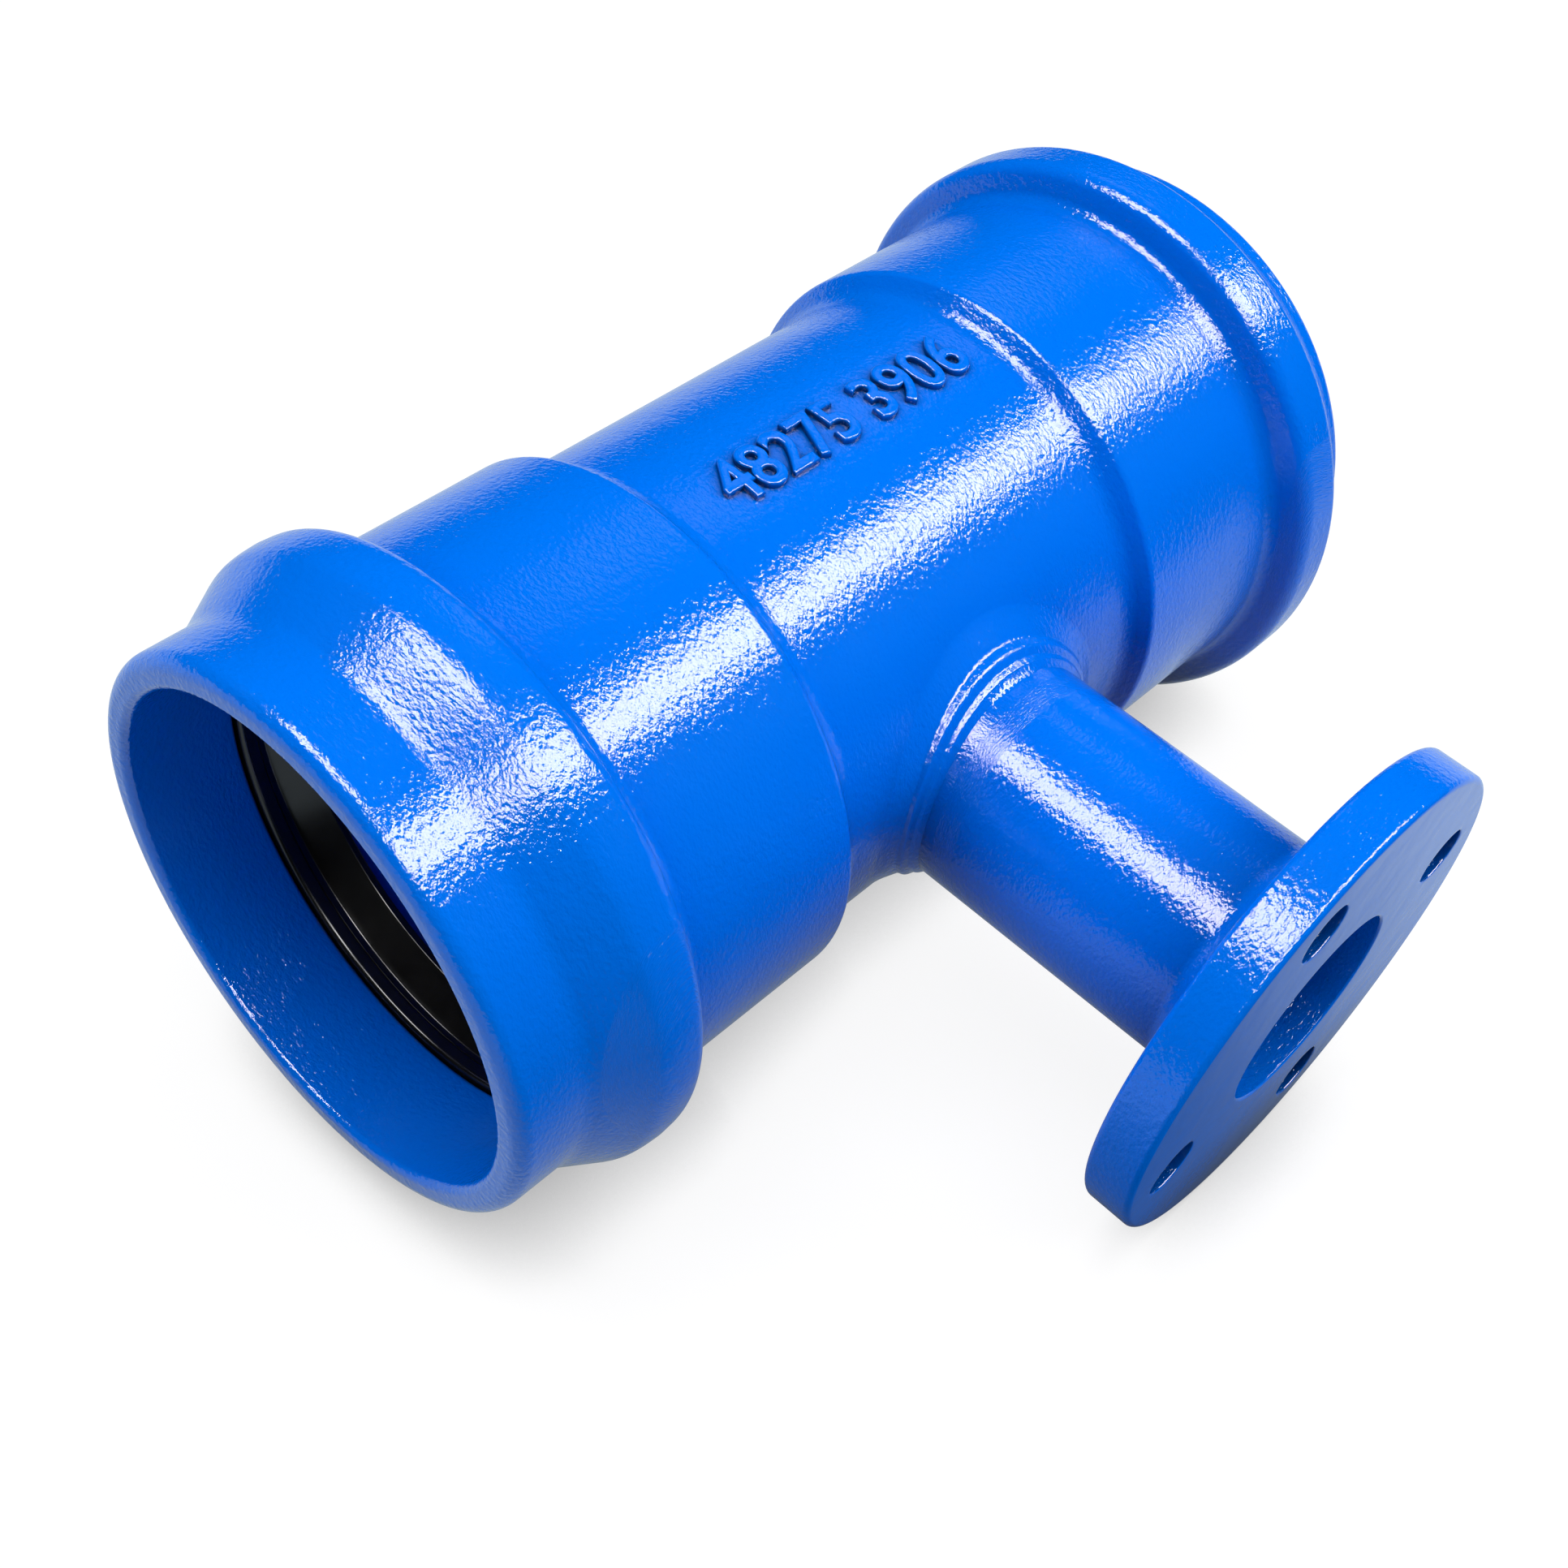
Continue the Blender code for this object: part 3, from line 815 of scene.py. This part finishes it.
def ripple_strength(nodes, links, place):
    """Strength of the ripples, full on the casting and slight on the flange's flat face."""
    outwards = (rest_matrix().to_3x3() @ BRANCH_WAY).normalized()
    face = outwards.dot(rest_matrix().translation) + BRANCH_REACH
    along = nodes.new("ShaderNodeVectorMath")
    along.operation = "DOT_PRODUCT"
    along.inputs[1].default_value = outwards
    links.new(place, along.inputs[0])
    start = face - FACE_DEPTH * 2
    end = face - FACE_DEPTH
    return fade(nodes, links, along.outputs["Value"], start, end, 1.0, RIPPLE_ON_FACE)


def with_painted_shade(nodes, links, color):
    """The coat's colour with painted shade, darker in hollows such as the bores, the necks and the
    collar's foot.
    """
    open_share = nodes.new("ShaderNodeAmbientOcclusion")
    open_share.samples = PAINTED_SHADE_SAMPLES
    open_share.inputs["Distance"].default_value = PAINTED_SHADE_REACH
    level = nodes.new("ShaderNodeMapRange")
    level.inputs["From Min"].default_value = PAINTED_SHADE_FROM
    level.inputs["From Max"].default_value = PAINTED_SHADE_TO
    level.inputs["To Min"].default_value = PAINTED_SHADE_DARKEST
    links.new(open_share.outputs["AO"], level.inputs["Value"])
    scaled = nodes.new("ShaderNodeVectorMath")
    scaled.operation = "SCALE"
    scaled.inputs[0].default_value = color
    links.new(level.outputs["Result"], scaled.inputs["Scale"])
    return scaled.outputs["Vector"]


def epoxy_material():
    """Glossy bright blue epoxy with painted shade in its hollows and an orange-peel ripple over the
    casting's slight waves.
    """
    material, nodes, links = new_material("blue_epoxy")
    shader = nodes["Principled BSDF"]
    # Painted shade: the coat's base colour is darkened in hollows where shade falls
    links.new(with_painted_shade(nodes, links, EPOXY_COLOR), shader.inputs["Base Color"])
    shader.inputs["Roughness"].default_value = EPOXY_ROUGHNESS
    shader.inputs["IOR"].default_value = EPOXY_IOR
    shader.inputs["Specular Tint"].default_value = EPOXY_SPECULAR_TINT
    place = nodes.new("ShaderNodeTexCoord").outputs["Object"]
    waves = add_noise(nodes, links, place, WAVE_SCALE, WAVE_DETAIL, WAVE_ROUGHNESS)
    laid = ripple_place(nodes, links, place)
    ripples = add_noise(nodes, links, laid, RIPPLE_SCALE, RIPPLE_DETAIL, RIPPLE_ROUGHNESS)
    slow = add_bump(nodes, links, waves.outputs["Fac"], WAVE_HEIGHT, WAVE_STRENGTH)
    fine = add_bump(nodes, links, ripples.outputs["Fac"], RIPPLE_HEIGHT, 1.0, slow)
    links.new(ripple_strength(nodes, links, place), fine.inputs["Strength"])
    links.new(fine.outputs["Normal"], shader.inputs["Normal"])
    return material


def rubber_material():
    """Black moulded rubber with a soft sheen."""
    material, nodes, links = new_material("black_rubber")
    shader = nodes["Principled BSDF"]
    shader.inputs["Base Color"].default_value = RUBBER_COLOR
    shader.inputs["IOR"].default_value = RUBBER_IOR
    place = nodes.new("ShaderNodeTexCoord").outputs["Object"]
    cloud = add_noise(
        nodes, links, place, RUBBER_CLOUD_SCALE, RUBBER_CLOUD_DETAIL, RUBBER_CLOUD_ROUGHNESS
    )
    sheen = nodes.new("ShaderNodeMapRange")
    sheen.inputs["To Min"].default_value = RUBBER_SMOOTHEST
    sheen.inputs["To Max"].default_value = RUBBER_ROUGHEST
    links.new(cloud.outputs["Fac"], sheen.inputs["Value"])
    links.new(sheen.outputs["Result"], shader.inputs["Roughness"])
    return material


def contact_shade(nodes, links, reach):
    """Brightness of the ground near the tee, from 1 in the open to CONTACT_DARKEST under it."""
    near = nodes.new("ShaderNodeAmbientOcclusion")
    near.samples = CONTACT_SAMPLES
    near.inputs["Distance"].default_value = reach
    contact = nodes.new("ShaderNodeMapRange")
    contact.inputs["From Min"].default_value = CONTACT_FROM
    contact.inputs["From Max"].default_value = CONTACT_TO
    contact.inputs["To Min"].default_value = CONTACT_DARKEST
    links.new(near.outputs["AO"], contact.inputs["Value"])
    return contact.outputs["Result"]


def calculated(nodes, links, operation, one, other):
    """What a Math node's operation makes of two values."""
    maths = nodes.new("ShaderNodeMath")
    maths.operation = operation
    links.new(one, maths.inputs[0])
    links.new(other, maths.inputs[1])
    return maths.outputs["Value"]


def ground_in_gloss(nodes, links):
    """Strength of the ground's painted reflection, dark out along +X and in front of the branch."""
    place = nodes.new("ShaderNodeTexCoord").outputs["Object"]
    away = nodes.new("ShaderNodeVectorMath")
    away.operation = "DISTANCE"
    away.inputs[1].default_value = FLOOR_DARK_SPOT
    links.new(place, away.inputs[0])
    spot = fade(
        nodes, links, away.outputs["Value"], FLOOR_SPOT_INNER, FLOOR_SPOT_OUTER, 0.0, FLOOR_IN_GLOSS
    )
    across = nodes.new("ShaderNodeSeparateXYZ")
    links.new(place, across.inputs["Vector"])
    beyond = fade(nodes, links, across.outputs["X"], FLOOR_DARK_FROM, FLOOR_DARK_TO, 1.0, 0.0)
    return calculated(nodes, links, "MULTIPLY", spot, beyond)


def mixed(nodes, links, share, first, second):
    """Two shaders mixed, with all of the second where the share is 1."""
    mix = nodes.new("ShaderNodeMixShader")
    links.new(share, mix.inputs["Fac"])
    links.new(first, mix.inputs[1])
    links.new(second, mix.inputs[2])
    return mix.outputs["Shader"]


def floor_material():
    """Pale ground, white to the camera and a dimmer painted reflection in the coat's gloss, shaded
    near the tee.
    """
    material, nodes, links = new_material("white_floor")
    nodes.remove(nodes["Principled BSDF"])
    plain = nodes.new("ShaderNodeBsdfDiffuse")
    plain.inputs["Color"].default_value = FLOOR_COLOR
    shade = nodes.new("ShaderNodeBsdfDiffuse")
    shade.inputs["Color"].default_value = FLOOR_SEEN_SHADE
    glow = nodes.new("ShaderNodeEmission")
    glow.inputs["Strength"].default_value = FLOOR_SEEN_GLOW
    links.new(contact_shade(nodes, links, CONTACT_REACH), glow.inputs["Color"])
    white = nodes.new("ShaderNodeAddShader")
    links.new(shade.outputs["BSDF"], white.inputs[0])
    links.new(glow.outputs["Emission"], white.inputs[1])
    # Painted reflection: for glossy rays the ground glows, with painted blue bounce from the tee
    # and a painted dark spot
    mirrored = nodes.new("ShaderNodeEmission")
    shaded = contact_shade(nodes, links, CONTACT_REACH_IN_GLOSS)
    with_painted_bounce = multiplied(nodes, links, shaded, FLOOR_PAINTED_BOUNCE_IN_GLOSS)
    links.new(with_painted_bounce, mirrored.inputs["Color"])
    links.new(ground_in_gloss(nodes, links), mirrored.inputs["Strength"])
    rays = nodes.new("ShaderNodeLightPath")
    straight = calculated(
        nodes, links, "MAXIMUM", rays.outputs["Is Camera Ray"], rays.outputs["Is Transmission Ray"]
    )
    seen = mixed(nodes, links, straight, plain.outputs["BSDF"], white.outputs["Shader"])
    whole = mixed(nodes, links, rays.outputs["Is Glossy Ray"], seen, mirrored.outputs["Emission"])
    links.new(whole, nodes["Material Output"].inputs["Surface"])
    return material


def make_floor():
    """Wide flat ground under the tee."""
    shape = bmesh.new()
    bmesh.ops.create_grid(shape, x_segments=1, y_segments=1, size=FLOOR_SIDE / 2)
    mesh = bpy.data.meshes.new("floor")
    shape.to_mesh(mesh)
    shape.free()
    floor = bpy.data.objects.new("floor", mesh)
    bpy.context.scene.collection.objects.link(floor)
    mesh.materials.append(floor_material())
    return floor


def direction(azimuth, elevation):
    """Unit vector at an azimuth from +X towards +Y and an elevation, both in degrees."""
    turn = math.radians(azimuth)
    rise = math.radians(elevation)
    level = math.cos(rise)
    return Vector((level * math.cos(turn), level * math.sin(turn), math.sin(rise)))


def add_softboxes(boxes, for_sheen):
    """Area lamps aimed at the tee, seen only as reflections or only as light on its colours."""
    centre = Vector((0.0, 0.0, HOUSING_RADIUS))
    for name, (azimuth, elevation, distance, width, length, radiance) in boxes.items():
        light = bpy.data.lights.new(name, "AREA")
        light.shape = "RECTANGLE"
        light.size = width
        light.size_y = length
        # An area light's power is its radiance times its area times pi
        light.energy = radiance * width * length * math.pi
        lamp = bpy.data.objects.new(name, light)
        towards = direction(azimuth, elevation)
        across = RUN_WAY.cross(towards).normalized()
        turn = Matrix((across, towards.cross(across), towards)).transposed()
        lamp.matrix_world = Matrix.Translation(centre + towards * distance) @ turn.to_4x4()
        lamp.visible_diffuse = not for_sheen
        lamp.visible_glossy = for_sheen
        bpy.context.scene.collection.objects.link(lamp)


def set_sky():
    """Backdrop and faint light from all round."""
    world = bpy.data.worlds.new("studio")
    bpy.context.scene.world = world
    world.use_nodes = True
    nodes = world.node_tree.nodes
    links = world.node_tree.links
    background = nodes["Background"]
    background.inputs["Color"].default_value = SKY_COLOR
    # The backdrop is white to the camera, and lights the tee no more for that
    strength = nodes.new("ShaderNodeMapRange")
    strength.inputs["To Min"].default_value = SKY_STRENGTH
    links.new(nodes.new("ShaderNodeLightPath").outputs["Is Camera Ray"], strength.inputs["Value"])
    links.new(strength.outputs["Result"], background.inputs["Strength"])
    # The studio's dark walls are what the glossy coat mirrors round the softboxes
    world.cycles_visibility.glossy = False


def add_camera():
    """Camera of the photo."""
    forward = Vector(CAMERA_FORWARD).normalized()
    right = forward.cross(Vector(CAMERA_UP)).normalized()
    up = right.cross(forward)
    data = bpy.data.cameras.new("photo_camera")
    data.lens = CAMERA_LENS
    data.sensor_width = CAMERA_SENSOR
    data.sensor_fit = "HORIZONTAL"
    data.clip_start = CAMERA_NEAR
    data.clip_end = CAMERA_FAR
    camera = bpy.data.objects.new("photo_camera", data)
    turn = Matrix((right, up, -forward)).transposed()
    camera.matrix_world = Matrix.Translation(CAMERA_PLACE) @ turn.to_4x4()
    bpy.context.scene.collection.objects.link(camera)
    bpy.context.scene.camera = camera


def build():
    """Everything in the scene."""
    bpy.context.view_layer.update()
    epoxy = epoxy_material()
    rubber = rubber_material()
    body = make_body()
    numbers = make_numbers()
    seals = {
        "front_seal": make_seal("front_seal_ring", False),
        "back_seal": make_seal("back_seal_ring", True),
    }
    for piece in (body, numbers):
        piece.data.materials.clear()
        piece.data.materials.append(epoxy)
        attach(piece, "root")
    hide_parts("tee_body")
    for node, seal in seals.items():
        seal.data.materials.append(rubber)
        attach(seal, "root")
        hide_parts(node)
    make_floor()
    add_softboxes(SHEENS, True)
    add_softboxes(FILLS, False)
    set_sky()
    add_camera()
    bpy.context.scene.view_settings.view_transform = "Standard"


build()
